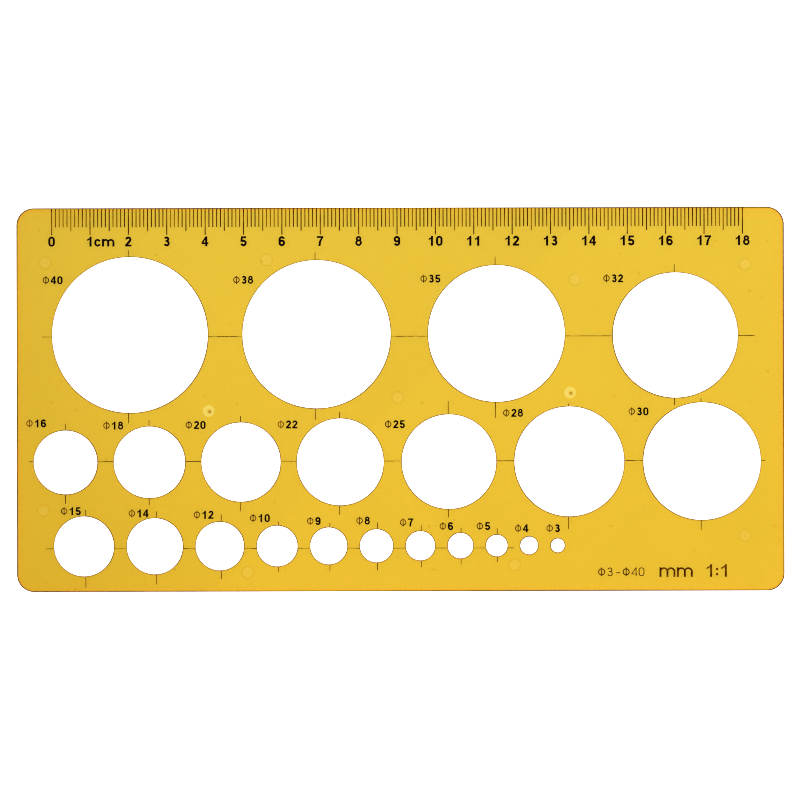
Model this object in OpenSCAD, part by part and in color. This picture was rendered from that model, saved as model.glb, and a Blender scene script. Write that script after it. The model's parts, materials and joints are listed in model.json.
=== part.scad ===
// Circle template: a thin moulded stencil with graded holes to draw circles
// through, and a centimetre ruler printed along its top edge. Millimetres.
// The origin is at the centre of the underside. +X runs along the length, +Y
// towards the ruler edge, and +Z up out of the printed face.

/* [Plate] */
// Length of the plate
plate_length = 200; // [200:1:220]
// Width of the plate
plate_width = 100; // [100:1:110]
// Thickness of the plate
plate_thickness = 1.2; // [1:0.1:2]
// Radius of the four corners, seen from above
corner_radius = 4.5; // [2:0.5:8]
// Radius that rounds the underside's outer edges and the rims of its circles
lower_round = 0.45; // [0.2:0.05:0.5]
// Small chamfer that breaks the same edges of the printed face
upper_break = 0.05; // [0.05:0.05:0.2]

/* [Circles] */
// Nominal diameters of the top row, left to right
top_sizes = [40, 38, 35, 32]; // [20:1:40]
// Nominal diameters of the middle row, left to right
middle_sizes = [16, 18, 20, 22, 25, 28, 30]; // [10:1:30]
// Nominal diameters of the bottom row, left to right
bottom_sizes = [15, 14, 12, 10, 9, 8, 7, 6, 5, 4, 3]; // [3:1:15]
// How much wider than its nominal size a circle is cut, for the pencil lead
lead_allowance = 0.6; // [0.3:0.1:0.8]
// How much the circle marked 25 is cut under that rule
undersize_25 = 1; // [0:0.1:1.5]
// Height of the top row's line above the middle of the plate
top_row_y = 16.95; // [16.5:0.05:17.5]
// How far the centre of each circle in the top row lies below that line
top_drops = [0, -0.1, -0.2, 0.3]; // [-0.3:0.1:0.3]
// Height of the middle row's centres, measured the same way
middle_row_y = -16.25; // [-17:0.05:-16]
// Height of the bottom row's centres, measured the same way
bottom_row_y = -38.15; // [-39:0.05:-37.5]
// Plastic left of each circle in the top row, the first from the plate's end
top_gaps = [9.2, 9.05, 9.8, 12.55]; // [4:0.05:12.6]
// Plastic left of the middle row's first circle
middle_margin = 4.35; // [4:0.05:6]
// Plastic between the circles of the middle row
middle_gap = 4.27; // [3.5:0.01:4.5]
// Plastic left of the middle row's last circle
middle_last_gap = 5; // [4:0.1:6]
// Plastic left of the bottom row's first circle
bottom_margin = 9.63; // [6:0.01:12]
// Plastic between the circles of the bottom row
bottom_gap = 3.35; // [2:0.01:4]

/* [Moulding marks] */
// Diameter of the ejector pins' marks
ejector_d = 3; // [2:0.5:4]
// Depth of the ejector pins' marks in the underside
ejector_depth = 0.06; // [0.02:0.01:0.1]
// Diameter of the two gate dimples
gate_d = 3.1; // [2.5:0.1:4]
// Depth of the two gate dimples in the printed face
gate_depth = 0.3; // [0.2:0.05:0.4]
// Diameter of the broken-off gate stub in each dimple
stub_d = 0.7; // [0.4:0.1:1]

/* [Ruler] */
// Last reading of the ruler in centimetres
ruler_cm = 18; // [10:1:18]
// Distance from the plate's left end to the zero mark
zero_inset = 9.2; // [8:0.1:10]
// Width of a ruler mark
mark_width = 0.3; // [0.1:0.05:0.4]
// Length of a millimetre mark
millimetre_mark = 5; // [3:0.5:5]
// Length of a half-centimetre mark
half_mark = 6; // [5:0.5:6]
// Length of a centimetre mark
centimetre_mark = 7; // [6:0.5:7]
// Height of the ruler's numerals
numeral_height = 2.6; // [2:0.1:2.6]
// Drop from the plate's edge to the foot of the numerals
numeral_drop = 10; // [9.8:0.1:10.5]

/* [Print] */
// Thickness of the printed ink
ink_thickness = 0.03; // [0.02:0.01:0.05]
// Ink stops this far short of a chamfer
ink_margin = 0.03; // [0.02:0.01:0.1]
// Width of the centre lines
line_width = 0.2; // [0.1:0.05:0.25]
// Height of the digits that name the circles
label_height = 2.1; // [1.6:0.1:2.2]
// How far the top row's centre line is printed from the circles' centres
top_shift = -0.5; // [-0.6:0.1:0.6]
// The same misfit in the middle row
middle_shift = 0.2; // [-0.6:0.1:0.6]
// The same misfit in the bottom row
bottom_shift = -0.6; // [-0.6:0.1:0.6]
// How far the centre line runs past the top row, at its two ends
top_overrun = [2.5, 4.3]; // [1:0.1:5]
// How far the centre line runs past the middle row, at its two ends
middle_overrun = [1.1, 1.1]; // [0.5:0.1:2]
// How far the centre line runs past the bottom row's marked circles
bottom_overrun = [2.1, 1.7]; // [1:0.1:2.5]

/* [Hidden] */
$fn = 96;

AMBER = [0.91, 0.76, 0.22, 0.8];
INK = [0.1, 0.08, 0.05];

half_length = plate_length / 2;
half_width = plate_width / 2;
cut_past = 1;

// Printed lengths [above, below] of the tick at each circle of a row
top_ticks = [[1.8, 2.7], [2, 3], [2.2, 4.2], [2.1, 2]];
middle_ticks = [
    [1.8, 2.4], [1.7, 1.9], [1.7, 2.5], [1.7, 2.5], [3.4, 2.2], [0.8, 3.3], [1.1, 2.7]
];
bottom_ticks = [
    [1.7, 2.9], [1.8, 2.6], [2, 2.3], [1.1, 1.4], [1.2, 1.7],
    [1.8, 2.1], [1.5, 1.8], [1.4, 1.6], [1.7, 1.4]
];

// Middle of each size label, measured from its circle's centre
top_labels = [[-20, 14.3], [-19, 14.2], [-17.1, 14.3], [-16.1, 14.8]];
middle_labels = [
    [-7.5, 10.2], [-9.3, 9.6], [-11.7, 9.7], [-13.6, 9.8], [-14, 9.8], [-14.6, 12.7], [-16.5, 13]
];
bottom_labels = [
    [-3.3, 9.2], [-4.1, 8.6], [-4.1, 8.2], [-4.4, 7.3], [-3.8, 6.5], [-3.4, 6.6],
    [-3.5, 6.1], [-3.6, 5.1], [-3.4, 5.1], [-1.9, 4.5], [-1.1, 4.5]
];

middle_gaps = [
    for (i = [0 : len(middle_sizes) - 1])
        i == 0 ? middle_margin : i == len(middle_sizes) - 1 ? middle_last_gap : middle_gap
];
bottom_gaps = [for (i = [0 : len(bottom_sizes) - 1]) i == 0 ? bottom_margin : bottom_gap];

middle_drops = [for (size = middle_sizes) 0];
bottom_drops = [for (size = bottom_sizes) 0];

// A row is [sizes, gaps, y, ticks, x offsets of its first and last tick, labels, drops]
TOP = [top_sizes, top_gaps, top_row_y, top_ticks, [-0.35, -0.3], top_labels, top_drops];
MIDDLE = [
    middle_sizes, middle_gaps, middle_row_y, middle_ticks, [0, -0.3], middle_labels, middle_drops
];
BOTTOM = [
    bottom_sizes, bottom_gaps, bottom_row_y, bottom_ticks, [0.5, 0.1], bottom_labels, bottom_drops
];
ROWS = [TOP, MIDDLE, BOTTOM];

// Ejector pins' marks and gates, measured from the middle of the plate
ejector_spots = [
    [-92.6, 35.8], [-34.9, 36.5], [45.6, 31.2], [90, 35.1], [-0.7, 0.5],
    [-93.2, -28.8], [-39.9, -45], [29.7, -43.2], [89.8, -35.7]
];
gate_spots = [[-50, -2.9], [44.2, 1.7]];

// ---- Layout ----

// Diameter of the hole a nominal size is laid out for
function slot_d(size) = size + lead_allowance;

// Diameter a hole is really cut to
function cut_d(size) = slot_d(size) - (size == 25 ? undersize_25 : 0);

// Length of a row from the plate's end to the left side of its circle i
function run_to(row, i) =
    i == 0 ? row[1][0] : run_to(row, i - 1) + slot_d(row[0][i - 1]) + row[1][i];

// Centre of circle i of a row
function centre(row, i) =
    [run_to(row, i) + slot_d(row[0][i]) / 2 - half_length, row[2] - row[6][i]];

// ---- Plate ----

// Half of the plate's cross-section, out to a distance from its middle: rounded
// below and chamfered above
module half_profile(reach) {
    t = plate_thickness;
    c = upper_break;
    r = lower_round;
    polygon([[0, r], [reach, r], [reach, t - c], [reach - c, t], [0, t]]);
    square([reach - r, r]);
    translate([reach - r, r])
        circle(r);
}

module full_profile(width) {
    for (side = [0, 1])
        mirror([side, 0])
            half_profile(width / 2);
}

// Two crossing bars, and a disc at each corner of the plate
module blank() {
    straight_length = plate_length - 2 * corner_radius;
    straight_width = plate_width - 2 * corner_radius;
    rotate([90, 0, 0])
        translate([0, 0, -straight_width / 2])
            linear_extrude(straight_width)
                full_profile(plate_length);
    rotate([90, 0, 90])
        translate([0, 0, -straight_length / 2])
            linear_extrude(straight_length)
                full_profile(plate_width);
    for (x = [-1, 1], y = [-1, 1])
        translate([x * straight_length / 2, y * straight_width / 2, 0])
            rotate_extrude()
                half_profile(corner_radius);
}

// Straight hole, rounded at the underside and chamfered at the printed face
module circle_cut(d) {
    t = plate_thickness;
    flare = upper_break + cut_past;
    translate([0, 0, -cut_past])
        cylinder(d = d, h = t + 2 * cut_past);
    translate([0, 0, t - upper_break])
        cylinder(d1 = d, d2 = d + 2 * flare, h = flare);
    rotate_extrude()
        difference() {
            translate([0, -cut_past])
                square([d / 2 + lower_round, cut_past + lower_round]);
            translate([d / 2 + lower_round, lower_round])
                circle(lower_round);
        }
}

module all_circle_cuts() {
    for (row = ROWS, i = [0 : len(row[0]) - 1])
        translate(centre(row, i))
            circle_cut(cut_d(row[0][i]));
}

// Flat round mark pressed into the underside
module ejector_mark() {
    translate([0, 0, -cut_past])
        cylinder(d = ejector_d, h = cut_past + ejector_depth);
}

// Dished recess in the printed face
module gate_dimple() {
    dish_r = (pow(gate_d / 2, 2) + pow(gate_depth, 2)) / (2 * gate_depth);
    translate([0, 0, plate_thickness - gate_depth + dish_r])
        sphere(dish_r);
}

// What is left of the gate, standing in its dimple and just short of the face
module gate_stub() {
    root = plate_thickness / 2;
    short_of_face = 0.08;
    translate([0.25, -0.2, root])
        cylinder(d = stub_d, h = plate_thickness - root - short_of_face, $fn = 32);
}

module template_plate() {
    color(AMBER) {
        difference() {
            blank();
            all_circle_cuts();
            for (spot = ejector_spots)
                translate(spot)
                    ejector_mark();
            for (spot = gate_spots)
                translate(spot)
                    gate_dimple();
        }
        for (spot = gate_spots)
            translate(spot)
                gate_stub();
    }
}

// ---- Lettering, drawn flat at a height of 1 with a stroke s ----

ADVANCE = 0.79;
DIGIT_WIDTH = 0.66;
LEFT = 0.055;
MIDDLE_X = LEFT + DIGIT_WIDTH / 2;
BOWL = DIGIT_WIDTH / 2;
BOLD = 0.215;
THIN = 0.11;
MEDIUM = 0.16;
// Level strokes are this much thinner than upright ones
LEVEL = 0.87;

// Pie slice that reaches past any glyph
module slice(from, to) {
    reach = 2;
    steps = ceil((to - from) / 60);
    polygon(concat(
        [[0, 0]],
        [for (i = [0 : steps]) let (a = from + (to - from) * i / steps) reach * [cos(a), sin(a)]]
    ));
}

// Bent stroke of outer radius r between two angles
module bend(x, y, r, s, from, to) {
    translate([x, y])
        difference() {
            intersection() {
                circle(r);
                slice(from, to);
            }
            circle(r - s);
        }
}

module ring(x, y, r, s) {
    translate([x, y])
        difference() {
            circle(r);
            circle(r - s);
        }
}

// Upright oblong with round ends
module oblong(w, h) {
    translate([0, w / 2])
        square([w, h - w]);
    for (y = [w / 2, h - w / 2])
        translate([w / 2, y])
            circle(w / 2);
}

module oblong_ring(w, h, s) {
    difference() {
        oblong(w, h);
        translate([s, LEVEL * s])
            oblong(w - 2 * s, h - 2 * LEVEL * s);
    }
}

module zero(s) {
    translate([LEFT, 0])
        oblong_ring(DIGIT_WIDTH, 1, s);
}

module one(s) {
    right = 0.55;
    polygon([
        [right - s, 0], [right, 0], [right, 1], [right - 0.8 * s, 1], [0.33, 0.85], [0.11, 0.73],
        [0.11, 0.73 - LEVEL * s], [right - s, 0.96 - 1.25 * s]
    ]);
}

module two(s) {
    r = 0.31;
    y = 1 - r;
    down = [cos(-40), sin(-40)];
    hub = [MIDDLE_X, y];
    bend(MIDDLE_X, y, r, s, -44, 175);
    polygon([
        [LEFT, 0.75 * s], [LEFT - 0.01, 0], [0.7, 0], [0.7, LEVEL * s],
        [LEFT + 1.5 * s, LEVEL * s], hub + r * down, hub + (r - s) * down
    ]);
}

module three(s) {
    upper = 0.27;
    lower = 0.305;
    bend(MIDDLE_X - 0.01, 1 - upper, upper, s, -90, 165);
    bend(MIDDLE_X, lower, lower, s, -165, 90);
    translate([0.26, 0.535 - 0.4 * s])
        square([0.13, 0.8 * s]);
}

module four(s) {
    left = 0.03;
    right = 0.61;
    tip = 0.72;
    bar = 0.21;
    bar_top = bar + LEVEL * s;
    difference() {
        polygon([
            [right, 0], [right, bar], [tip, bar], [tip, bar_top], [right, bar_top], [right, 1],
            [right - 0.85 * s, 1], [left, bar_top], [left, bar], [right - s, bar], [right - s, 0]
        ]);
        polygon([
            [left + 0.92 * s, bar_top], [right - s, bar_top], [right - s, 1 - 1.6 * s]
        ]);
    }
}

module five(s) {
    left = 0.145;
    bend(MIDDLE_X, BOWL, BOWL, s, -165, 150);
    polygon([[left, 1], [0.065, 0.475], [0.065 + 0.9 * s, 0.44], [left + s, 1]]);
    translate([left + s / 2, 1 - LEVEL * s])
        square([0.515 - s / 2, LEVEL * s]);
}

module six(s) {
    shoulder = 1 - BOWL;
    ring(MIDDLE_X, BOWL, BOWL, s);
    bend(MIDDLE_X, shoulder, BOWL, s, 20, 180);
    translate([LEFT, BOWL])
        square([s, shoulder - BOWL]);
}

module seven(s) {
    foot = 0.415;
    polygon([
        [foot, 0], [0.46, 0.38], [0.56, 0.66], [0.7, 1 - 0.7 * s], [0.7, 1], [0.05, 1],
        [0.05, 1 - LEVEL * s], [0.68 - 0.95 * s, 1 - LEVEL * s], [0.54 - 0.93 * s, 0.64],
        [0.455 - s, 0.36], [foot - s, 0]
    ]);
}

module eight(s) {
    upper = 0.275;
    stroke = 0.88 * s;
    ring(MIDDLE_X, 1 - upper, upper, stroke);
    ring(MIDDLE_X, BOWL, BOWL, stroke);
}

module nine(s) {
    translate([2 * MIDDLE_X, 1])
        rotate(180)
            six(s);
}

module digit(n, s) {
    if (n == 0) zero(s);
    if (n == 1) one(s);
    if (n == 2) two(s);
    if (n == 3) three(s);
    if (n == 4) four(s);
    if (n == 5) five(s);
    if (n == 6) six(s);
    if (n == 7) seven(s);
    if (n == 8) eight(s);
    if (n == 9) nine(s);
}

function number_width(n) = n < 10 ? ADVANCE : 2 * ADVANCE;

// Number of one or two digits that starts at x = 0
module number(n, s) {
    if (n >= 10)
        digit(floor(n / 10), s);
    translate([number_width(n) - ADVANCE, 0])
        digit(n % 10, s);
}

// Diameter sign: a thin ring crossed by an upright bar
SIGN_WIDTH = 0.8;
SIGN_STROKE = 0.12;
module diameter_sign() {
    r = SIGN_WIDTH / 2;
    ring(r, 0.5, r, SIGN_STROKE);
    translate([r - SIGN_STROKE / 2, 0])
        square([SIGN_STROKE, 1]);
}

X_HEIGHT = 0.76;
C_WIDTH = 0.66;
M_WIDTH = 1.26;
LETTER_GAP = 0.11;
HYPHEN_WIDTH = 0.42;

module letter_c(s) {
    difference() {
        oblong_ring(C_WIDTH, X_HEIGHT, s);
        translate([C_WIDTH / 2, X_HEIGHT / 2])
            slice(-32, 32);
    }
}

module letter_m(s) {
    pitch = (M_WIDTH - s) / 2;
    arch = (pitch + s) / 2;
    spring = X_HEIGHT - arch;
    square([s, X_HEIGHT]);
    for (i = [0, 1]) {
        bend(i * pitch + arch, spring, arch, LEVEL * s, 0, 180);
        translate([(i + 1) * pitch, 0])
            square([s, spring + 0.01]);
    }
}

module letters_cm(s) {
    letter_c(s);
    translate([C_WIDTH + LETTER_GAP, 0])
        letter_m(s);
}

module letters_mm(s) {
    letter_m(s);
    translate([M_WIDTH + LETTER_GAP, 0])
        letter_m(s);
}

module hyphen(s) {
    translate([0, 0.34])
        square([HYPHEN_WIDTH, s]);
}

module colon(s) {
    for (y = [0.12, 0.52])
        translate([0, y])
            square(1.1 * s);
}

// ---- Printing ----

// Lays flat shapes on the printed face as a film of ink
module printed() {
    color(INK)
        translate([0, 0, plate_thickness])
            linear_extrude(ink_thickness)
                children();
}

function mark_x(millimetres) = zero_inset - half_length + millimetres;

// Ruler mark that hangs from the top edge
module ruler_mark(millimetres, length) {
    top = half_width - upper_break - ink_margin;
    translate([mark_x(millimetres) - mark_width / 2, half_width - length])
        square([mark_width, top - (half_width - length)]);
}

module millimetre_marks() {
    printed()
        for (mm = [1 : ruler_cm * 10 - 1])
            if (mm % 5 != 0)
                ruler_mark(mm, millimetre_mark);
}

module half_centimetre_marks() {
    printed()
        for (cm = [0 : ruler_cm - 1])
            ruler_mark(cm * 10 + 5, half_mark);
}

module centimetre_marks() {
    printed()
        for (cm = [0 : ruler_cm])
            ruler_mark(cm * 10, centimetre_mark);
}

module scale_numerals() {
    printed()
        for (cm = [0 : ruler_cm])
            translate([mark_x(cm * 10), half_width - numeral_drop])
                scale(numeral_height)
                    translate([-number_width(cm) / 2, 0])
                        number(cm, BOLD);
}

// The unit stands just right of the first centimetre's numeral
module scale_unit() {
    step_right = 1.1;
    printed()
        translate([mark_x(10) + step_right, half_width - numeral_drop])
            scale(numeral_height)
                letters_cm(BOLD);
}

// Distance from circle i's centre at which a line must stop, when it is printed
// a distance off to one side of that centre
function stop_at(row, i, off) =
    let (r = cut_d(row[0][i]) / 2 + upper_break + ink_margin)
    let (nearest = max(0, abs(off) - line_width / 2))
    sqrt(r * r - nearest * nearest);

// Where the centre line stops on one side, -1 or 1, of circle i
function past_circle(row, i, shift, side) =
    centre(row, i)[0] + side * stop_at(row, i, shift + row[6][i]);

// Centre line past circles 0 to last of a row, broken at every circle
module row_line(row, last, shift, overrun) {
    start = run_to(row, 0) - half_length - overrun[0];
    finish = centre(row, last)[0] + slot_d(row[0][last]) / 2 + overrun[1];
    for (i = [0 : last + 1]) {
        from = i == 0 ? start : past_circle(row, i - 1, shift, 1);
        to = i > last ? finish : past_circle(row, i, shift, -1);
        translate([from, row[2] + shift - line_width / 2])
            square([to - from, line_width]);
    }
}

module row_centre_lines() {
    printed() {
        row_line(TOP, len(top_sizes) - 1, top_shift, top_overrun);
        row_line(MIDDLE, len(middle_sizes) - 1, middle_shift, middle_overrun);
        row_line(BOTTOM, len(bottom_ticks) - 1, bottom_shift, bottom_overrun);
    }
}

// Upright ticks above and below circle i of a row
module tick_pair(row, i) {
    at = centre(row, i);
    r = cut_d(row[0][i]) / 2;
    off = row[4][0] + (row[4][1] - row[4][0]) * i / (len(row[3]) - 1);
    inner = stop_at(row, i, off);
    reach_up = r + row[3][i][0];
    reach_down = r + row[3][i][1];
    translate([at[0] + off - line_width / 2, at[1]]) {
        translate([0, inner])
            square([line_width, reach_up - inner]);
        translate([0, -reach_down])
            square([line_width, reach_down - inner]);
    }
}

module hole_centre_ticks() {
    printed()
        for (row = ROWS, i = [0 : len(row[3]) - 1])
            tick_pair(row, i);
}

SIGN_GAP = 0.17;
function label_width(size) = SIGN_WIDTH + SIGN_GAP + number_width(size);

// Puts its children at the lower left of the label of circle i of a row
module at_label(row, i) {
    middle = centre(row, i) + row[5][i];
    translate([middle[0], middle[1] - label_height / 2])
        scale(label_height)
            translate([-label_width(row[0][i]) / 2, 0])
                children();
}

module diameter_symbols() {
    printed()
        for (row = ROWS, i = [0 : len(row[0]) - 1])
            at_label(row, i)
                diameter_sign();
}

module diameter_numerals() {
    printed()
        for (row = ROWS, i = [0 : len(row[0]) - 1])
            at_label(row, i)
                translate([SIGN_WIDTH + SIGN_GAP, 0])
                    number(row[0][i], BOLD);
}

// Diameter sign and number, drawn from x = 0
module sized(n, s) {
    diameter_sign();
    translate([SIGN_WIDTH + SIGN_GAP, 0])
        number(n, s);
}

// Note of the smallest and largest circle, the unit and the life-size scale
module size_range_note() {
    smallest = bottom_sizes[len(bottom_sizes) - 1];
    largest = top_sizes[0];
    left = 51.4;
    foot = 3.8 - half_width;
    thin_height = 2.3;
    medium_height = 3.3;
    unit_left = 16;
    ratio_left = 27.9;
    gap = 0.3;
    hyphen_x = label_width(smallest) + gap;
    largest_x = hyphen_x + HYPHEN_WIDTH + gap;
    colon_x = ADVANCE + 0.07;
    printed()
        translate([left, foot]) {
            scale(thin_height) {
                sized(smallest, THIN);
                translate([hyphen_x, 0])
                    hyphen(THIN);
                translate([largest_x, 0])
                    sized(largest, THIN);
            }
            translate([unit_left, -0.2])
                scale(medium_height)
                    letters_mm(MEDIUM);
            translate([ratio_left, -0.2])
                scale(medium_height) {
                    digit(1, MEDIUM);
                    translate([colon_x, 0])
                        colon(MEDIUM);
                    translate([colon_x + gap, 0])
                        digit(1, MEDIUM);
                }
        }
}

template_plate();
millimetre_marks();
half_centimetre_marks();
centimetre_marks();
scale_numerals();
scale_unit();
row_centre_lines();
hole_centre_ticks();
diameter_symbols();
diameter_numerals();
size_range_note();
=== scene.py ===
import json
import math

import bpy
import numpy as np
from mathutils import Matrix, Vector
from mathutils.geometry import delaunay_2d_cdt


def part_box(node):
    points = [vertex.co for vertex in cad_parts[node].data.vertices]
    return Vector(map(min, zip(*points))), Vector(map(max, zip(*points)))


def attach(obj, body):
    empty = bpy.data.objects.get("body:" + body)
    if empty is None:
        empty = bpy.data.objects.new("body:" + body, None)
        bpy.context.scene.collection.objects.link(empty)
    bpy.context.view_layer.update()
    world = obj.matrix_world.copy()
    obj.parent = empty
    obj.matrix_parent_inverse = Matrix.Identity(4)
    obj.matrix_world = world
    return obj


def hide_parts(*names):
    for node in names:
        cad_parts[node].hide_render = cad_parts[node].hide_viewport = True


# Looks of the circle template: a transparent amber plate with a thin film of
# printed ink. The plate is built again as one fine mesh with rounded rims, from
# the record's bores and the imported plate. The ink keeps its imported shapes.
# Metres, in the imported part's frame.

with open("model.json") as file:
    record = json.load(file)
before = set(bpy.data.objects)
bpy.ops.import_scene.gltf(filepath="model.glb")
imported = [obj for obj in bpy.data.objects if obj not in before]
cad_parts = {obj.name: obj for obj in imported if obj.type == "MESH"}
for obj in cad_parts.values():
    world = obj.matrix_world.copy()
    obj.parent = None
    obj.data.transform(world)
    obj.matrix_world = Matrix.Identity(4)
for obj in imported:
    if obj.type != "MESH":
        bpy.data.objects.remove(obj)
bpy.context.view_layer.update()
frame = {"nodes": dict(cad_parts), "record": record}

MM = 0.001
TINY = 0.001 * MM

PLATE_NODE = "template_plate"

# Shape of the moulding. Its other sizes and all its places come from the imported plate.
UPPER_FILLET = 0.05 * MM
LOWER_FILLET = 0.45 * MM
# Steps round the upper fillet. The lower one has twice as many.
FILLET_STEPS = 6
SEGMENT_LENGTH = 0.4 * MM
FEWEST_SEGMENTS = 64
CORNER_SEGMENTS = 40
# Depth of the ejector marks, and width and steps of the slope round them
EJECTOR_DEPTH = 0.06 * MM
EJECTOR_SLOPE = 0.6 * MM
EJECTOR_STEPS = 8
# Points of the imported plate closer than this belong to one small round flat
DISC_REACH = 4 * MM
# Gates: a dish with the stub off its middle, its end a little below the printed face
GATE_D = 3.1 * MM
GATE_DEPTH = 0.3 * MM
GATE_RINGS = 12
# The gate's pale shading is full over its outer part and fades towards the stub, this
# many times as fast as an even fade
GATE_FADE = 3
STUB_OFFSET = Vector((0.25 * MM, -0.2 * MM))
STUB_SHORT = 0.08 * MM
STUB_FILLET = 0.06 * MM
# Height of the fillet at the stub's foot, in radii of the fillet
STUB_FOOT_RISE = 1.5
# Smallest distance at which the flat faces' points count as apart, in millimetres
SAME_POINT = 1e-7
# Name of the shading painted into the mesh's colour, and its strengths: -1 is brown and 1 is
# pale
SHADE = "painted_shade_and_mould_marks"
# Painted shade: the rims of the cuts and the outer edge are painted brown, darkest at the wall;
# round the circles it is lighter on the side towards the ruler, as if lit from there, down to
# RIM_LIT times itself
RIM_SHADE = 1.0
RIM_LIT = 0.4
# The ejector marks' slopes are painted darker, a painted shade, and their floors paler
EJECTOR_PALE = 0.24
EJECTOR_SLOPE_SHADE = 0.3
GATE_PALE = 1
STUB_SHADE = -0.75


# ---- Mesh of the plate ----

class Skin:
    """Points, normals and faces of one closed mesh, made of rings of points."""

    def __init__(self):
        self.points = []
        self.normals = []
        self.shades = []
        self.faces = []

    def ring(self, points, normals, shades=None):
        """Adds a ring and returns its points' numbers. A shade is brown below 0, pale above."""
        first = len(self.points)
        self.points.extend(points)
        self.normals.extend(normals)
        self.shades.extend(shades or [0.0] * len(points))
        return list(range(first, len(self.points)))

    def band(self, a, b):
        """Joins two rings of as many points. It faces left of the step from a to b."""
        n = len(a)
        for i in range(n):
            j = (i + 1) % n
            self.faces.append((a[i], a[j], b[j], b[i]))

    def bands(self, rings):
        """Joins each ring to the next."""
        for a, b in zip(rings, rings[1:]):
            self.band(a, b)

    def fan(self, ring, centre, normal, shade=0.0):
        """Closes a ring with triangles to a point in its middle."""
        hub = self.ring([centre], [normal], [shade])[0]
        for i in range(len(ring)):
            self.faces.append((ring[i], ring[(i + 1) % len(ring)], hub))

    def sheet(self, loops, faces_up):
        """Fills the flat face between an outer loop and the round loops inside it."""
        numbers = [n for loop in loops for n in loop]
        owner = [k for k, loop in enumerate(loops) for _ in loop]
        flat = [Vector(self.points[n][:2]) / MM for n in numbers]
        edges, start = [], 0
        for loop in loops:
            edges += [(start + i, start + (i + 1) % len(loop)) for i in range(len(loop))]
            start += len(loop)
        inside_only = 1
        _, _, faces, origin, _, _ = delaunay_2d_cdt(flat, edges, [], inside_only, SAME_POINT)
        for face in faces:
            corners = [origin[c][0] for c in face]
            owners = {owner[c] for c in corners}
            # Corners that all belong to one inner loop mean that the face fills a hole
            if len(owners) > 1 or owners == {0}:
                corners = [numbers[c] for c in corners]
                self.faces.append(corners if faces_up else corners[::-1])

    def piece(self, name):
        """Makes the object, with the given normals and the shading as an attribute."""
        mesh = bpy.data.meshes.new(name)
        mesh.from_pydata(self.points, [], self.faces)
        mesh.shade_smooth()
        mesh.normals_split_custom_set_from_vertices(self.normals)
        mesh.attributes.new(SHADE, "FLOAT", "POINT").data.foreach_set("value", self.shades)
        made = bpy.data.objects.new(name, mesh)
        bpy.context.scene.collection.objects.link(made)
        return made


def turn(start, end, steps):
    """Unit vectors (across, up) from one angle to another, in degrees."""
    angles = np.radians(np.linspace(start, end, steps + 1))
    return [(math.cos(a), math.sin(a)) for a in angles]


def cut_profile(bottom, top):
    """Rows (depth into the plastic, height, normal across, normal up, shade) down a cut
    wall, nearly sharp at the printed face and rounded at the underside."""
    rows = []
    for across, up in turn(90, 180, FILLET_STEPS):
        depth = UPPER_FILLET * (1 + across)
        rows.append((depth, top - UPPER_FILLET * (1 - up), across, up, 0))
    # The lower fillet is painted brown, a painted shade that is darkest at the wall
    for across, up in turn(180, 270, 2 * FILLET_STEPS):
        depth = LOWER_FILLET * (1 + across)
        rows.append((depth, bottom + LOWER_FILLET * (1 + up), across, up, RIM_SHADE * across))
    return rows


def circle_ring(skin, centre, radius, height, across, up, count,
                clockwise=False, shade=0.0, lit=1.0):
    """Ring of a round feature. across is its normals' part away from the centre. The painted
    shade fades to lit times itself on the side towards the ruler, as if light fell from there."""
    angles = np.linspace(0, 2 * math.pi, count, endpoint=False)
    if clockwise:
        angles = -angles
    rim = [(math.cos(a), math.sin(a)) for a in angles]
    points = [(centre[0] + radius * x, centre[1] + radius * y, height) for x, y in rim]
    normals = [(across * x, across * y, up) for x, y in rim]
    shades = [shade * (1 + (lit - 1) * (1 + y) / 2) for _, y in rim]
    return skin.ring(points, normals, shades)


def segments(radius):
    """How many points go round a circle."""
    return max(FEWEST_SEGMENTS, round(2 * math.pi * radius / SEGMENT_LENGTH))


def outline_ring(skin, low, high, corner, inset, height, across, up, shade):
    """Ring of the rounded rectangle, clockwise, so that bands between rings face out."""
    middle = (low + high) / 2
    radius = corner - inset
    points, normals = [], []
    for quarter in (0, 3, 2, 1):
        for a in np.radians(np.linspace(90, 0, CORNER_SEGMENTS + 1) + 90 * quarter):
            x, y = math.cos(a), math.sin(a)
            side_x = 1 if quarter in (0, 3) else -1
            side_y = 1 if quarter in (0, 1) else -1
            centre_x = middle.x + side_x * ((high.x - low.x) / 2 - corner)
            centre_y = middle.y + side_y * ((high.y - low.y) / 2 - corner)
            points.append((centre_x + radius * x, centre_y + radius * y, height))
            normals.append((across * x, across * y, up))
    return skin.ring(points, normals, [shade] * len(points))


def packed_corner(node, high):
    """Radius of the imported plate's corners, from where its long edge ends."""
    edge_end = max(v.co.x for v in node.data.vertices if high.y - v.co.y < TINY)
    return high.x - edge_end


def packed_discs(node, height):
    """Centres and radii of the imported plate's small round flats at one height."""
    left = [v.co.copy() for v in node.data.vertices if abs(v.co.z - height) < TINY]
    discs = []
    while left:
        near = [p for p in left if (p - left[0]).length < DISC_REACH]
        left = [p for p in left if (p - left[0]).length >= DISC_REACH]
        xs, ys = [p.x for p in near], [p.y for p in near]
        centre = Vector(((min(xs) + max(xs)) / 2, (min(ys) + max(ys)) / 2))
        discs.append((centre, (max(xs) - min(xs)) / 2))
    return discs


def add_bore(skin, centre, radius, low, high):
    """Cuts one circle and returns its loops on the two faces."""
    count = segments(radius)
    rings = [
        circle_ring(skin, centre, radius + depth, height, across, up, count,
                    shade=shade, lit=RIM_LIT)
        for depth, height, across, up, shade in cut_profile(low.z, high.z)
    ]
    skin.bands(rings)
    return rings[0], rings[-1]


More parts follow.
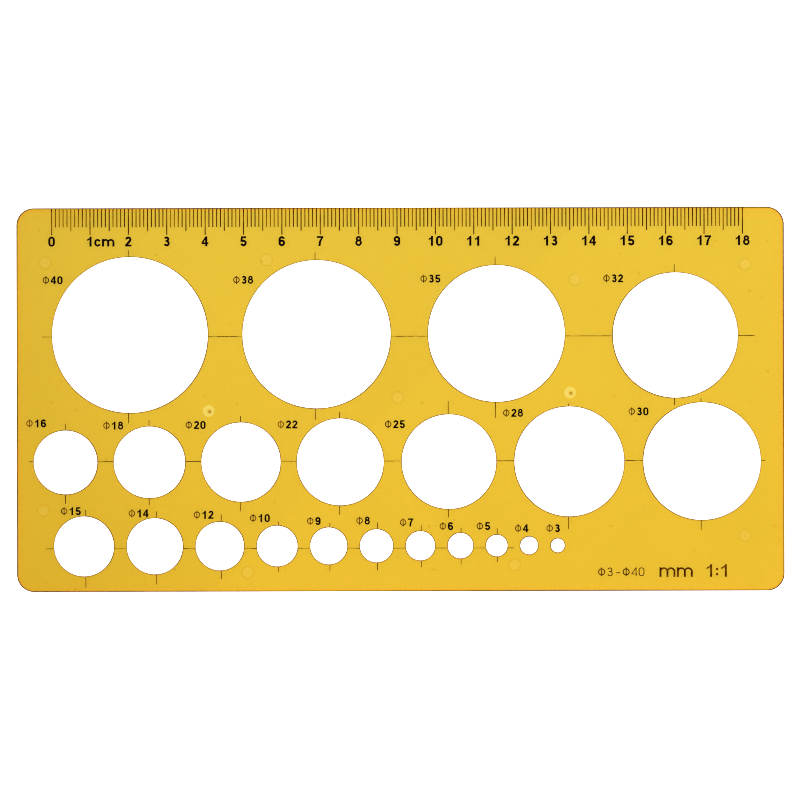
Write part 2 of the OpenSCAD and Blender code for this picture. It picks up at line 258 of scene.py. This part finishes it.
def add_outline(skin, low, high, corner):
    """Makes the outer edge and returns its loops on the two faces."""
    rings = [
        outline_ring(skin, low, high, corner, depth, height, -across, up, shade)
        for depth, height, across, up, shade in cut_profile(low.z, high.z)
    ]
    skin.bands(rings)
    return rings[0], rings[-1]


def add_ejector_mark(skin, centre, radius, floor):
    """Makes a shallow round recess in the underside and returns its loop there."""
    rings = []
    for k in range(EJECTOR_STEPS + 1):
        share = k / EJECTOR_STEPS
        rise = (1 - math.cos(math.pi * share)) / 2
        steepness = math.sin(math.pi * share)
        slope = EJECTOR_DEPTH * math.pi * steepness / (2 * EJECTOR_SLOPE)
        normal = Vector((slope, -1)).normalized()
        # Painted shade darkens the slope where it is steepest; the floor is paler
        rings.append(circle_ring(
            skin, centre, radius + EJECTOR_SLOPE * (0.5 - share), floor + EJECTOR_DEPTH * rise,
            -normal.x, normal.y, FEWEST_SEGMENTS, clockwise=True,
            shade=EJECTOR_PALE * rise - EJECTOR_SLOPE_SHADE * steepness))
    skin.bands(rings)
    skin.fan(rings[-1], (centre.x, centre.y, floor + EJECTOR_DEPTH), (0, 0, -1), EJECTOR_PALE)
    return rings[0]


def dish_ring(skin, dish, middle, radius, face, shade):
    """Ring round middle that lies on the sphere of the gate's dish."""
    rim_radius = GATE_D / 2
    sphere = (rim_radius ** 2 + GATE_DEPTH ** 2) / (2 * GATE_DEPTH)
    sphere_height = face - GATE_DEPTH + sphere
    points, normals = [], []
    for a in np.linspace(0, 2 * math.pi, FEWEST_SEGMENTS, endpoint=False):
        x = middle.x + radius * math.cos(a)
        y = middle.y + radius * math.sin(a)
        off = Vector((x - dish.x, y - dish.y))
        drop = math.sqrt(sphere ** 2 - off.length_squared)
        points.append((x, y, sphere_height - drop))
        normals.append((-off.x / sphere, -off.y / sphere, drop / sphere))
    return skin.ring(points, normals, [shade] * FEWEST_SEGMENTS)


def stub_rings(skin, centre, radius, dish_end, face):
    """Rings up the stub's side and round its top edge."""
    top = face - STUB_SHORT
    foot = min(skin.points[n][2] for n in dish_end) + STUB_FILLET * STUB_FOOT_RISE
    rows = [(radius, foot, 1, 0), (radius, top - STUB_FILLET, 1, 0)]
    for across, up in turn(0, 90, FILLET_STEPS)[1:]:
        inset = STUB_FILLET * (1 - across)
        rows.append((radius - inset, top - STUB_FILLET * (1 - up), across, up))
    return [
        circle_ring(skin, centre, r, height, across, up, FEWEST_SEGMENTS, shade=STUB_SHADE)
        for r, height, across, up in rows
    ]


def add_gate(skin, stub_centre, stub_radius, face):
    """Makes a dished recess with the stub of a gate and returns its loop on the face."""
    dish = stub_centre - STUB_OFFSET
    rim_radius = GATE_D / 2
    foot_radius = stub_radius + STUB_FILLET
    rings = [circle_ring(skin, dish, rim_radius, face, 0, 1, FEWEST_SEGMENTS)]
    for k in range(1, GATE_RINGS + 1):
        share = k / GATE_RINGS
        middle = dish + STUB_OFFSET * share
        radius = rim_radius + (foot_radius - rim_radius) * share
        shade = GATE_PALE * min(1, (1 - share) * GATE_FADE)
        rings.append(dish_ring(skin, dish, middle, radius, face, shade))
    rings += stub_rings(skin, stub_centre, stub_radius, rings[-1], face)
    skin.bands(rings)
    top = (stub_centre.x, stub_centre.y, face - STUB_SHORT)
    skin.fan(rings[-1], top, (0, 0, 1), STUB_SHADE)
    return rings[0]


def build_plate():
    """One closed mesh for the whole moulding."""
    packed = frame["nodes"][PLATE_NODE]
    low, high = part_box(PLATE_NODE)
    skin = Skin()
    outer = add_outline(skin, low, high, packed_corner(packed, high))
    top_loops, bottom_loops = [outer[0]], [outer[1]]
    for mount in frame["record"]["mounts"]:
        if mount["kind"] == "bore":
            loops = add_bore(skin, mount["pos_m"], mount["dims"]["r_mm"] * MM, low, high)
            top_loops.append(loops[0])
            bottom_loops.append(loops[1])
    for centre, radius in packed_discs(packed, low.z + EJECTOR_DEPTH):
        bottom_loops.append(add_ejector_mark(skin, centre, radius, low.z))
    for centre, radius in packed_discs(packed, high.z - STUB_SHORT):
        top_loops.append(add_gate(skin, centre, radius, high.z))
    skin.sheet(top_loops, True)
    skin.sheet(bottom_loops, False)
    return skin.piece("amber_plate")


# ---- Materials ----

# Share of red, green and blue light that the plate's thickness lets through, and the
# share that its two skins let through together
THROUGH = (0.99, 0.9, 0.42)
SKINS = (0.995, 0.795, 0.155)
# Tints of the skins: at the ruler's end of the plate, at its foot, and in the bands
# that glow along the outer edge. The paler ruler's end is a painted sheen and the deeper foot a
# painted shade, as if lit from above the ruler's end; the bands' glow is painted light.
LIT_TOP_TINT = (0.86, 0.86, 0.86)
SHADED_FOOT_TINT = (0.86, 0.815, 0.61)
EDGE_GLOW_TINT = (0.95, 0.78, 0.6)
# Tints of the shading painted into the mesh: the shade where each starts, where it is full, and
# its colour. They are brown, which at the rims and on the ejector marks' slopes is painted
# shade, pale, and the gates' own paler one on top of that.
SHADE_TINTS = (
    (0, -1, (0.16, 0.06, 0.01)),
    (0, 1, (1.0, 0.82, 0.6)),
    (0.5, 1, (1.0, 1.0, 0.75)),
)
# The walls of the cuts and the outer edge are faintly frosted and show a deeper amber.
# A surface counts as wall by how far its normal leans over.
WALL_TINT = (0.8, 0.32, 0.02)
WALL_LEAN = (0.5, 0.95)
WALL_CLEAR = 0.5
WALL_ROUGHNESS = 0.25
# Painted light: the edge bands are a painted glow of deeper amber, where the rounded outer edge
# gathers light
# Each edge band's distances in from the outer edge, where it starts, is full, begins to
# fade and ends, and then its strength. The first is full right out to the edge.
EDGE_GLOW_BANDS = (
    (1.6 * MM, 0.4 * MM, 0.0, -0.1 * MM, 0.75),
    (3.4 * MM, 2.6 * MM, 2.3 * MM, 1.7 * MM, 0.22),
)
PLASTIC_IOR = 1.54
# Each pattern in the plastic: repeats per metre, then the noise levels between which it
# goes from the first of its own levels to the second
CLOUD = (35, 0.3, 0.7)
CLOUD_TINT = (0.985, 1.0)
SPECKS = (620, 0.82, 0.88)
SPECK_TINT = (1.0, 0.75)
SPECK_PLACE = (5, 2, 0)
HAZE = (900, 0.4, 0.75)
HAZE_ROUGHNESS = (0.02, 0.07)
HAZE_PLACE = (3, 1, 0)
SCRATCHES = (500, 0.62, 0.66)
SCRATCH_STRETCH = (0.05, 2.0, 1)
SCRATCH_HEIGHT = 0.002 * MM
WAVE_SCALE = 60
WAVE_HEIGHT = 0.006 * MM
# Each ink: its colour where the film is thick and where it is thin, the levels of its
# blotches between which it goes from one to the other, and the blotches' stretch. The
# marks' blotches are drawn out along the marks, so each mark differs from the next.
EVEN = (1, 1, 1)
ALONG_MARKS = (1, 0.12, 1)
INKS = {
    "bold_ink": ((0.01, 0.001, 0.0005), (0.04, 0.009, 0.002), 0.5, 0.75, EVEN),
    "fine_ink": ((0.12, 0.025, 0.0005), (0.5, 0.17, 0.002), 0.42, 0.66, EVEN),
    "mark_ink": ((0.13, 0.035, 0.0005), (0.6, 0.27, 0.004), 0.42, 0.64, ALONG_MARKS),
    "faint_ink": ((0.17, 0.05, 0.001), (0.95, 0.55, 0.02), 0.45, 0.62, EVEN),
}
# The ink of each node. The others have fine_ink.
INK_OF_NODE = {
    "scale_numerals": "bold_ink",
    "scale_unit": "bold_ink",
    "diameter_numerals": "bold_ink",
    "millimetre_marks": "mark_ink",
    "half_centimetre_marks": "mark_ink",
    "row_centre_lines": "faint_ink",
}
INK_BLOTCHES = 420
INK_GRAIN = (9000, 0.3, 0.7)
INK_ROUGHNESS = (0.4, 0.65)
INK_GRAIN_HEIGHT = 0.004 * MM
INK_SPECULAR = 0.06


def new_material(name):
    """A material with one Principled shader: (material, node tree, shader, output)."""
    material = bpy.data.materials.new(name)
    material.use_nodes = True
    tree = material.node_tree
    tree.nodes.clear()
    output = tree.nodes.new("ShaderNodeOutputMaterial")
    shader = tree.nodes.new("ShaderNodeBsdfPrincipled")
    tree.links.new(shader.outputs[0], output.inputs["Surface"])
    return material, tree, shader, output


def noise(tree, scale, detail=4.0, roughness=0.55, stretch=(1, 1, 1), offset=(0, 0, 0)):
    """Noise in the part's own coordinates. scale is in repeats per metre."""
    place = tree.nodes.new("ShaderNodeTexCoord")
    mapping = tree.nodes.new("ShaderNodeMapping")
    mapping.inputs["Scale"].default_value = stretch
    mapping.inputs["Location"].default_value = offset
    texture = tree.nodes.new("ShaderNodeTexNoise")
    texture.inputs["Scale"].default_value = scale
    texture.inputs["Detail"].default_value = detail
    texture.inputs["Roughness"].default_value = roughness
    tree.links.new(place.outputs["Object"], mapping.inputs["Vector"])
    tree.links.new(mapping.outputs[0], texture.inputs["Vector"])
    return texture.outputs["Fac"]


def ramp(tree, value, low, high, out_low, out_high, shape="SMOOTHSTEP"):
    """Maps a value from one range to another."""
    node = tree.nodes.new("ShaderNodeMapRange")
    node.interpolation_type = shape
    node.inputs["From Min"].default_value = low
    node.inputs["From Max"].default_value = high
    node.inputs["To Min"].default_value = out_low
    node.inputs["To Max"].default_value = out_high
    tree.links.new(value, node.inputs["Value"])
    return node.outputs["Result"]


def math_step(tree, operation, a, b):
    """One step of arithmetic on two values."""
    node = tree.nodes.new("ShaderNodeMath")
    node.operation = operation
    tree.links.new(a, node.inputs[0])
    tree.links.new(b, node.inputs[1])
    return node.outputs[0]


def times(tree, a, b):
    return math_step(tree, "MULTIPLY", a, b)


def plus(tree, a, b):
    return math_step(tree, "ADD", a, b)


def multiply(tree, colour, value):
    """Colour scaled by a value."""
    node = tree.nodes.new("ShaderNodeVectorMath")
    node.operation = "SCALE"
    tree.links.new(colour, node.inputs[0])
    tree.links.new(value, node.inputs["Scale"])
    return node.outputs[0]


def blend_colours(tree, factor, a, b):
    """Goes from a to b, each a colour or another node's output, as factor goes 0 to 1."""
    node = tree.nodes.new("ShaderNodeMix")
    node.data_type = "RGBA"
    tree.links.new(factor, node.inputs["Factor"])
    for name, colour in (("A", a), ("B", b)):
        if isinstance(colour, tuple):
            node.inputs[name].default_value = (*colour, 1)
        else:
            tree.links.new(colour, node.inputs[name])
    return node.outputs["Result"]


def vector_step(tree, operation, a, b=None):
    """One step of arithmetic on a vector, with a fixed one if it needs two."""
    node = tree.nodes.new("ShaderNodeVectorMath")
    node.operation = operation
    tree.links.new(a, node.inputs[0])
    if b is not None:
        node.inputs[1].default_value = b
    return node.outputs["Value"] if operation == "LENGTH" else node.outputs[0]


def reach_to_edge(tree, low, high, corner):
    """Distance from the corners' inner rectangle outwards: it is the corner radius at the
    outer edge and falls off inwards."""
    place = tree.nodes.new("ShaderNodeTexCoord").outputs["Object"]
    middle = (low + high) / 2
    inner = ((high.x - low.x) / 2 - corner, (high.y - low.y) / 2 - corner, 1)
    from_middle = vector_step(tree, "SUBTRACT", place, middle)
    past = vector_step(tree, "SUBTRACT", vector_step(tree, "ABSOLUTE", from_middle), inner)
    return vector_step(tree, "LENGTH", vector_step(tree, "MAXIMUM", past, (0, 0, 0)))


def bump(tree, height, distance, normal=None):
    """Normals of a relief that is distance high, on top of another one if given."""
    node = tree.nodes.new("ShaderNodeBump")
    node.inputs["Strength"].default_value = 1
    node.inputs["Distance"].default_value = distance
    tree.links.new(height, node.inputs["Height"])
    if normal is not None:
        tree.links.new(normal, node.inputs["Normal"])
    return node.outputs["Normal"]


def own_axis(tree, kind, axis):
    """One axis of the part's own coordinates ("Object") or normals ("Normal")."""
    split = tree.nodes.new("ShaderNodeSeparateXYZ")
    place = tree.nodes.new("ShaderNodeTexCoord")
    tree.links.new(place.outputs[kind], split.inputs[0])
    return split.outputs[axis]


def absorbing_volume(tree, thickness):
    """Plastic whose colour deepens with the light's path through it."""
    absorbed = [-math.log(share) / thickness for share in THROUGH]
    most = max(absorbed)
    volume = tree.nodes.new("ShaderNodeVolumeAbsorption")
    volume.inputs["Density"].default_value = most
    volume.inputs["Color"].default_value = (*[1 - a / most for a in absorbed], 1)
    return volume.outputs[0]


def skin_tint(tree, low, high):
    """Tint of the flat skins by place, with painted sheen towards the ruler's end and painted
    shade towards the foot, the painted glow of the edge bands, clouds and specks.
    """
    # Painted light and shade: paler towards the ruler's end, deeper towards the foot
    up = ramp(tree, own_axis(tree, "Object", "Y"), low.y, high.y, 0, 1)
    tint = blend_colours(tree, up, SHADED_FOOT_TINT, LIT_TOP_TINT)
    corner = packed_corner(frame["nodes"][PLATE_NODE], high)
    reach = reach_to_edge(tree, low, high, corner)
    # Painted glow in bands along the outer edge
    for inner, full, fade, outer, strength in EDGE_GLOW_BANDS:
        rise = ramp(tree, reach, corner - inner, corner - full, 0, strength)
        fall = ramp(tree, reach, corner - fade, corner - outer, 1, 0)
        tint = blend_colours(tree, times(tree, rise, fall), tint, EDGE_GLOW_TINT)
    cloud = noise(tree, CLOUD[0], detail=3)
    tint = multiply(tree, tint, ramp(tree, cloud, *CLOUD[1:], *CLOUD_TINT))
    speck = noise(tree, SPECKS[0], detail=0, offset=SPECK_PLACE)
    tint = multiply(tree, tint, ramp(tree, speck, *SPECKS[1:], *SPECK_TINT))
    return vector_step(tree, "MULTIPLY", tint, SKINS)


def shaded_tint(tree, tint):
    """Adds the shading painted into the mesh to a tint."""
    marks = tree.nodes.new("ShaderNodeAttribute")
    marks.attribute_name = SHADE
    for start, end, colour in SHADE_TINTS:
        share = ramp(tree, marks.outputs["Fac"], start, end, 0, 1, "LINEAR")
        tint = blend_colours(tree, share, tint, colour)
    return tint


def wall_share(tree):
    """How much a surface counts as a wall, 0 to 1."""
    upright = own_axis(tree, "Normal", "Z")
    flat, leaning = [1 - lean ** 2 for lean in WALL_LEAN]
    return ramp(tree, times(tree, upright, upright), flat, leaning, 0, 1)


def plastic_relief(tree):
    """Faint waves and fine scratches along the plate."""
    wave = bump(tree, noise(tree, WAVE_SCALE, detail=2), WAVE_HEIGHT)
    scratch = noise(tree, SCRATCHES[0], detail=3, stretch=SCRATCH_STRETCH)
    return bump(tree, ramp(tree, scratch, *SCRATCHES[1:], 0, 1), SCRATCH_HEIGHT, wave)


def amber_plastic():
    """Clear amber, tinted in its depth and at its skins, with frosted walls."""
    material, tree, shader, output = new_material("amber_plastic")
    low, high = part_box(PLATE_NODE)
    tree.links.new(absorbing_volume(tree, high.z - low.z), output.inputs["Volume"])
    wall = wall_share(tree)
    tint = shaded_tint(tree, skin_tint(tree, low, high))
    tint = blend_colours(tree, wall, tint, WALL_TINT)
    tree.links.new(tint, shader.inputs["Base Color"])
    clear = ramp(tree, wall, 0, 1, 1, WALL_CLEAR, "LINEAR")
    tree.links.new(clear, shader.inputs["Transmission Weight"])
    shader.inputs["IOR"].default_value = PLASTIC_IOR
    haze = noise(tree, HAZE[0], detail=5, offset=HAZE_PLACE)
    haze = ramp(tree, haze, *HAZE[1:], *HAZE_ROUGHNESS)
    frost = ramp(tree, wall, 0, 1, 0, WALL_ROUGHNESS, "LINEAR")
    tree.links.new(plus(tree, haze, frost), shader.inputs["Roughness"])
    tree.links.new(plastic_relief(tree), shader.inputs["Normal"])
    return material


def printed_ink(name, thick, thin, low, high, stretch):
    """Screen-printed ink that is thinner and browner in places."""
    material, tree, shader, _ = new_material(name)
    blotch = noise(tree, INK_BLOTCHES, detail=5, roughness=0.6, stretch=stretch)
    colour = blend_colours(tree, ramp(tree, blotch, low, high, 0, 1), thick, thin)
    tree.links.new(colour, shader.inputs["Base Color"])
    grain = noise(tree, INK_GRAIN[0], detail=3)
    roughness = ramp(tree, grain, *INK_GRAIN[1:], *INK_ROUGHNESS)
    tree.links.new(roughness, shader.inputs["Roughness"])
    tree.links.new(bump(tree, grain, INK_GRAIN_HEIGHT), shader.inputs["Normal"])
    shader.inputs["Specular IOR Level"].default_value = INK_SPECULAR
    return material


def dress(piece, material):
    """Gives a piece its one material."""
    piece.data.materials.clear()
    piece.data.materials.append(material)


# ---- Studio ----

FLOOR_HALF = 3.0
FLOOR_DROP = 0.05 * MM
FLOOR_WHITE = (0.97, 0.97, 0.97)
WORLD_STRENGTH = 0.62
# Brightness of the surroundings by the sine of their height above the horizon. The first
# two are the gradient's ends.
SKY = ((0.0, 1.2), (1.0, 0.08), (0.1, 1.1), (0.3, 1.0), (0.85, 1.0), (0.96, 0.08))
# The surroundings as the camera itself sees them
SKY_SEEN = (1.7, 1.7, 1.7)
# The floor's glow under the part falls off from one place
GLOW_CENTRE = (60 * MM, 20 * MM, 0)
GLOW_RADII = (100 * MM, 185 * MM)
GLOW_LEVELS = (0.79, 0.64)
# How much more it glows as the camera itself sees it
GLOW_SEEN = 0.6
# How much of the picture's width the plate takes up
PLATE_SHARE = 0.9594
LENS = 110
SENSOR = 36
CAMERA_ROLL = math.radians(-0.1227)
CAMERA_SHIFT = Vector((-0.12, -0.15)) * MM
CAMERA_CLIP = (0.01, 20)
# Width in pixels over which a sample is spread
FILTER_WIDTH = 1.0
BOUNCES = 20


def floor_white():
    """White that also glows, most of all under the part and to the camera."""
    material, tree, shader, output = new_material("floor_white")
    shader.inputs["Base Color"].default_value = (*FLOOR_WHITE, 1)
    shader.inputs["Roughness"].default_value = 1
    shader.inputs["Specular IOR Level"].default_value = 0
    glow = tree.nodes.new("ShaderNodeEmission")
    path = tree.nodes.new("ShaderNodeLightPath")
    level = tree.nodes.new("ShaderNodeMath")
    level.operation = "MULTIPLY_ADD"
    level.inputs[1].default_value = GLOW_SEEN
    place = tree.nodes.new("ShaderNodeTexCoord").outputs["Object"]
    away = vector_step(tree, "LENGTH", vector_step(tree, "SUBTRACT", place, GLOW_CENTRE))
    tree.links.new(ramp(tree, away, *GLOW_RADII, *GLOW_LEVELS), level.inputs[2])
    tree.links.new(path.outputs["Is Camera Ray"], level.inputs[0])
    tree.links.new(level.outputs[0], glow.inputs["Strength"])
    both = tree.nodes.new("ShaderNodeAddShader")
    tree.links.new(shader.outputs[0], both.inputs[0])
    tree.links.new(glow.outputs[0], both.inputs[1])
    tree.links.new(both.outputs[0], output.inputs["Surface"])
    return material


def white_floor():
    """Pale floor that stays clear white around the part."""
    low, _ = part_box(PLATE_NODE)
    z = low.z - FLOOR_DROP
    h = FLOOR_HALF
    mesh = bpy.data.meshes.new("floor")
    mesh.from_pydata([(-h, -h, z), (h, -h, z), (h, h, z), (-h, h, z)], [], [(0, 1, 2, 3)])
    mesh.materials.append(floor_white())
    floor = bpy.data.objects.new("floor", mesh)
    bpy.context.scene.collection.objects.link(floor)


def soft_world():
    """Even pale surroundings, dark only straight overhead."""
    world = bpy.data.worlds.new("studio")
    world.use_nodes = True
    tree = world.node_tree
    background = tree.nodes["Background"]
    place = tree.nodes.new("ShaderNodeTexCoord")
    split = tree.nodes.new("ShaderNodeSeparateXYZ")
    tree.links.new(place.outputs["Generated"], split.inputs[0])
    glow = tree.nodes.new("ShaderNodeValToRGB")
    glow.color_ramp.interpolation = "EASE"
    path = tree.nodes.new("ShaderNodeLightPath")
    for k, (sine, level) in enumerate(SKY):
        stop = glow.color_ramp.elements[k] if k < 2 else glow.color_ramp.elements.new(sine)
        stop.position = sine
        stop.color = (level, level, level, 1)
    tree.links.new(split.outputs["Z"], glow.inputs[0])
    seen = blend_colours(tree, path.outputs["Is Camera Ray"], glow.outputs[0], SKY_SEEN)
    tree.links.new(seen, background.inputs["Color"])
    background.inputs["Strength"].default_value = WORLD_STRENGTH
    bpy.context.scene.world = world


def look_down():
    """Camera straight above the plate, turned a hair as in the picture."""
    low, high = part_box(PLATE_NODE)
    middle = (low + high) / 2
    data = bpy.data.cameras.new("camera")
    data.lens = LENS
    data.sensor_width = SENSOR
    data.clip_start, data.clip_end = CAMERA_CLIP
    width_seen = (high.x - low.x) / PLATE_SHARE
    camera = bpy.data.objects.new("camera", data)
    distance = width_seen * LENS / SENSOR
    camera.location = (middle.x + CAMERA_SHIFT.x, middle.y + CAMERA_SHIFT.y, high.z + distance)
    camera.rotation_euler = (0, 0, CAMERA_ROLL)
    bpy.context.scene.collection.objects.link(camera)
    bpy.context.scene.camera = camera


plate = build_plate()
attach(plate, "root")
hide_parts(PLATE_NODE)
dress(plate, amber_plastic())
inks = {name: printed_ink(name, *look) for name, look in INKS.items()}
for name, node in frame["nodes"].items():
    if name != PLATE_NODE:
        dress(node, inks[INK_OF_NODE.get(name, "fine_ink")])

white_floor()
soft_world()
look_down()
scene = bpy.context.scene
scene.view_settings.view_transform = "Standard"
scene.cycles.filter_width = FILTER_WIDTH
scene.cycles.max_bounces = BOUNCES
scene.cycles.transmission_bounces = BOUNCES
